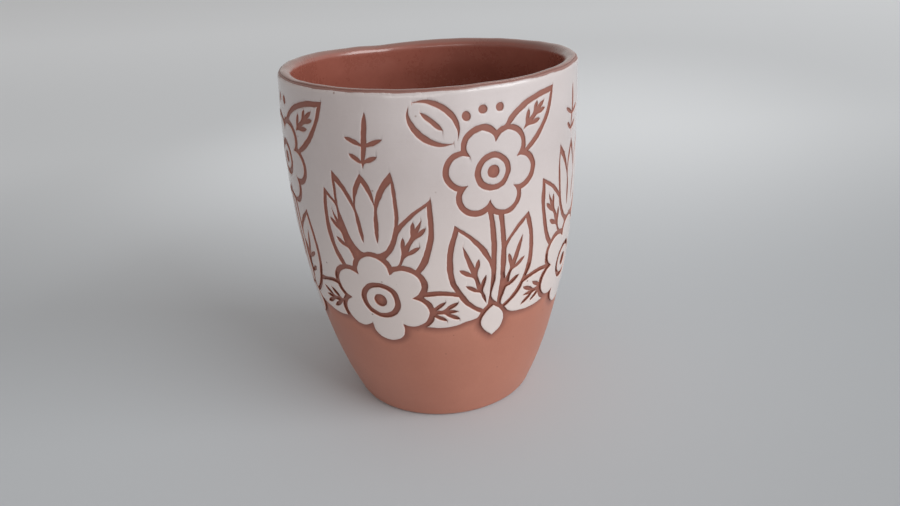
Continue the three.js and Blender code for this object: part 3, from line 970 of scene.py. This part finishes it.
def paperFinish():
    # the floor sheet, with painted light: a pool of light, painted shade round it, and a paler far side
    material, tree, shader = newFinish("paper", studio["shader"])
    link = tree.links.new
    place = addNode(tree, "ShaderNodeTexCoord")
    split = addNode(tree, "ShaderNodeSeparateXYZ")
    back = addNode(
        tree,
        "ShaderNodeMapRange",
        {"From Min": studio["farFrom"], "From Max": studio["farTo"]},
        interpolation_type="SMOOTHSTEP",
    )
    tint = addNode(tree, "ShaderNodeMix", {6: studio["paper"], 7: studio["paperFar"]}, data_type="RGBA")
    pool = addNode(
        tree,
        "ShaderNodeMapping",
        {
            "Location": studio["pool"],
            "Rotation": (0, 0, math.radians(studio["poolTurn"])),
            "Scale": studio["poolReach"],
        },
        vector_type="TEXTURE",
    )
    away = addNode(tree, "ShaderNodeVectorMath", operation="LENGTH")
    dimness = addNode(
        tree,
        "ShaderNodeMapRange",
        {"From Min": studio["poolFrom"], "From Max": 1.0},
        interpolation_type="SMOOTHSTEP",
    )
    paintedFarLight = addNode(
        tree,
        "ShaderNodeMapRange",
        {
            "From Min": studio["paintedFarLightFrom"],
            "From Max": studio["paintedFarLightTo"],
            "To Min": 1.0,
            "To Max": studio["paintedFarLightDim"],
        },
        interpolation_type="SMOOTHSTEP",
    )
    shade = addNode(tree, "ShaderNodeMath", operation="MULTIPLY")
    dimmed = addNode(tree, "ShaderNodeMix", {7: studio["dim"]}, data_type="RGBA", blend_type="MULTIPLY")
    fibre = addNode(tree, "ShaderNodeTexNoise", studio["fibre"])
    roughness = addNode(tree, "ShaderNodeMapRange", {"To Min": studio["smooth"], "To Max": studio["rough"]})
    bump = studio["bump"]
    relief = addNode(tree, "ShaderNodeBump", {"Strength": bump["strength"], "Distance": bump["depth"] * mm})
    link(place.outputs["Object"], split.inputs["Vector"])
    link(split.outputs["Y"], back.inputs["Value"])
    link(back.outputs["Result"], tint.inputs[0])
    link(place.outputs["Object"], pool.inputs["Vector"])
    link(pool.outputs["Vector"], away.inputs[0])
    link(away.outputs["Value"], dimness.inputs["Value"])
    link(split.outputs["Y"], paintedFarLight.inputs["Value"])
    link(dimness.outputs["Result"], shade.inputs[0])
    link(paintedFarLight.outputs["Result"], shade.inputs[1])
    link(shade.outputs[0], dimmed.inputs[0])
    link(tint.outputs[2], dimmed.inputs[6])
    link(dimmed.outputs[2], shader.inputs["Base Color"])
    link(place.outputs["Object"], fibre.inputs["Vector"])
    link(fibre.outputs["Fac"], roughness.inputs["Value"])
    link(roughness.outputs["Result"], shader.inputs["Roughness"])
    link(fibre.outputs["Fac"], relief.inputs["Height"])
    link(relief.outputs["Normal"], shader.inputs["Normal"])
    return material


def addFloor():
    half = studio["floorSize"] / 2
    corners = [(-half, -half, 0), (half, -half, 0), (half, half, 0), (-half, half, 0)]
    mesh = bpy.data.meshes.new("paperFloor")
    mesh.from_pydata(corners, [], [(0, 1, 2, 3)])
    mesh.materials.append(paperFinish())
    floor = bpy.data.objects.new("paperFloor", mesh)
    bpy.context.scene.collection.objects.link(floor)


def addWorld():
    world = bpy.data.worlds.new("softRoom")
    bpy.context.scene.world = world
    world.use_nodes = True
    tree = world.node_tree
    background = tree.nodes["Background"]
    place = addNode(tree, "ShaderNodeTexCoord")
    split = addNode(tree, "ShaderNodeSeparateXYZ")
    level = addNode(
        tree, "ShaderNodeMapRange", {"To Min": studio["roomLevel"], "To Max": studio["ceilingLevel"]}
    )
    side = addNode(tree, "ShaderNodeMapRange", {"From Min": -1.0})
    tint = addNode(tree, "ShaderNodeMix", {6: studio["roomAway"], 7: studio["room"]}, data_type="RGBA")
    share = addNode(tree, "ShaderNodeMapRange", {"To Min": studio["awayShare"]})
    both = addNode(tree, "ShaderNodeMath", operation="MULTIPLY")
    tree.links.new(place.outputs["Generated"], split.inputs["Vector"])
    tree.links.new(split.outputs["Z"], level.inputs["Value"])
    tree.links.new(split.outputs["X"], side.inputs["Value"])
    tree.links.new(side.outputs["Result"], tint.inputs[0])
    tree.links.new(tint.outputs[2], background.inputs["Color"])
    tree.links.new(side.outputs["Result"], share.inputs["Value"])
    tree.links.new(level.outputs["Result"], both.inputs[0])
    tree.links.new(share.outputs["Result"], both.inputs[1])
    tree.links.new(both.outputs[0], background.inputs["Strength"])


lampAim = Vector((0, 0, 0.05))  # m; half way up the cup
lamps = {
    "window": {"at": (1.98, -1.22, 1.0), "size": (2.1, 1.5), "power": 50.0, "color": (0.97, 0.99, 1.0)},
    "card": {"at": (-0.4, -2.0, 0.25), "size": (1.6, 0.5), "power": 6.0, "color": (1.0, 0.98, 0.96)},
}


def addLamp(name, at, size, power, color):
    light = bpy.data.lights.new(name, "AREA")
    light.shape = "RECTANGLE"
    light.size, light.size_y = size
    light.energy = power
    light.color = color
    lamp = bpy.data.objects.new(name, light)
    aim = lampAim - Vector(at)
    lamp.matrix_world = Matrix.Translation(at) @ aim.to_track_quat("-Z", "Y").to_matrix().to_4x4()
    bpy.context.scene.collection.objects.link(lamp)


viewpoint = {
    "aside": -0.3,  # mm from the cup's axis
    "back": 225.5,
    "height": 138.7,
    "down": 23.51,  # degrees
    "turn": 0.93,
    "roll": -3.19,
    "focalPixels": 800,
    "imageWidth": 900,
    "sensorWidth": 36.0,  # mm
    "nearest": 0.01,  # m
}


def addCamera():
    data = bpy.data.cameras.new("camera")
    data.sensor_width = viewpoint["sensorWidth"]
    data.lens = data.sensor_width * viewpoint["focalPixels"] / viewpoint["imageWidth"]
    data.clip_start = viewpoint["nearest"]
    camera = bpy.data.objects.new("camera", data)
    down, turn, roll = (math.radians(viewpoint[key]) for key in ("down", "turn", "roll"))
    ahead = Vector((math.sin(turn) * math.cos(down), math.cos(turn) * math.cos(down), -math.sin(down)))
    level = Vector((math.cos(turn), -math.sin(turn), 0))
    upright = level.cross(ahead)
    right = level * math.cos(roll) + upright * math.sin(roll)
    up = upright * math.cos(roll) - level * math.sin(roll)
    facing = Matrix((right, up, -ahead)).transposed().to_4x4()
    at = Vector((viewpoint["aside"], -viewpoint["back"], viewpoint["height"])) * mm
    camera.matrix_world = Matrix.Translation(at) @ facing
    bpy.context.scene.collection.objects.link(camera)
    bpy.context.scene.camera = camera


addFloor()
addWorld()
for lampName, lamp in lamps.items():
    addLamp(lampName, **lamp)
addCamera()
bpy.context.scene.view_settings.view_transform = "Standard"
print("stage, light and camera set")
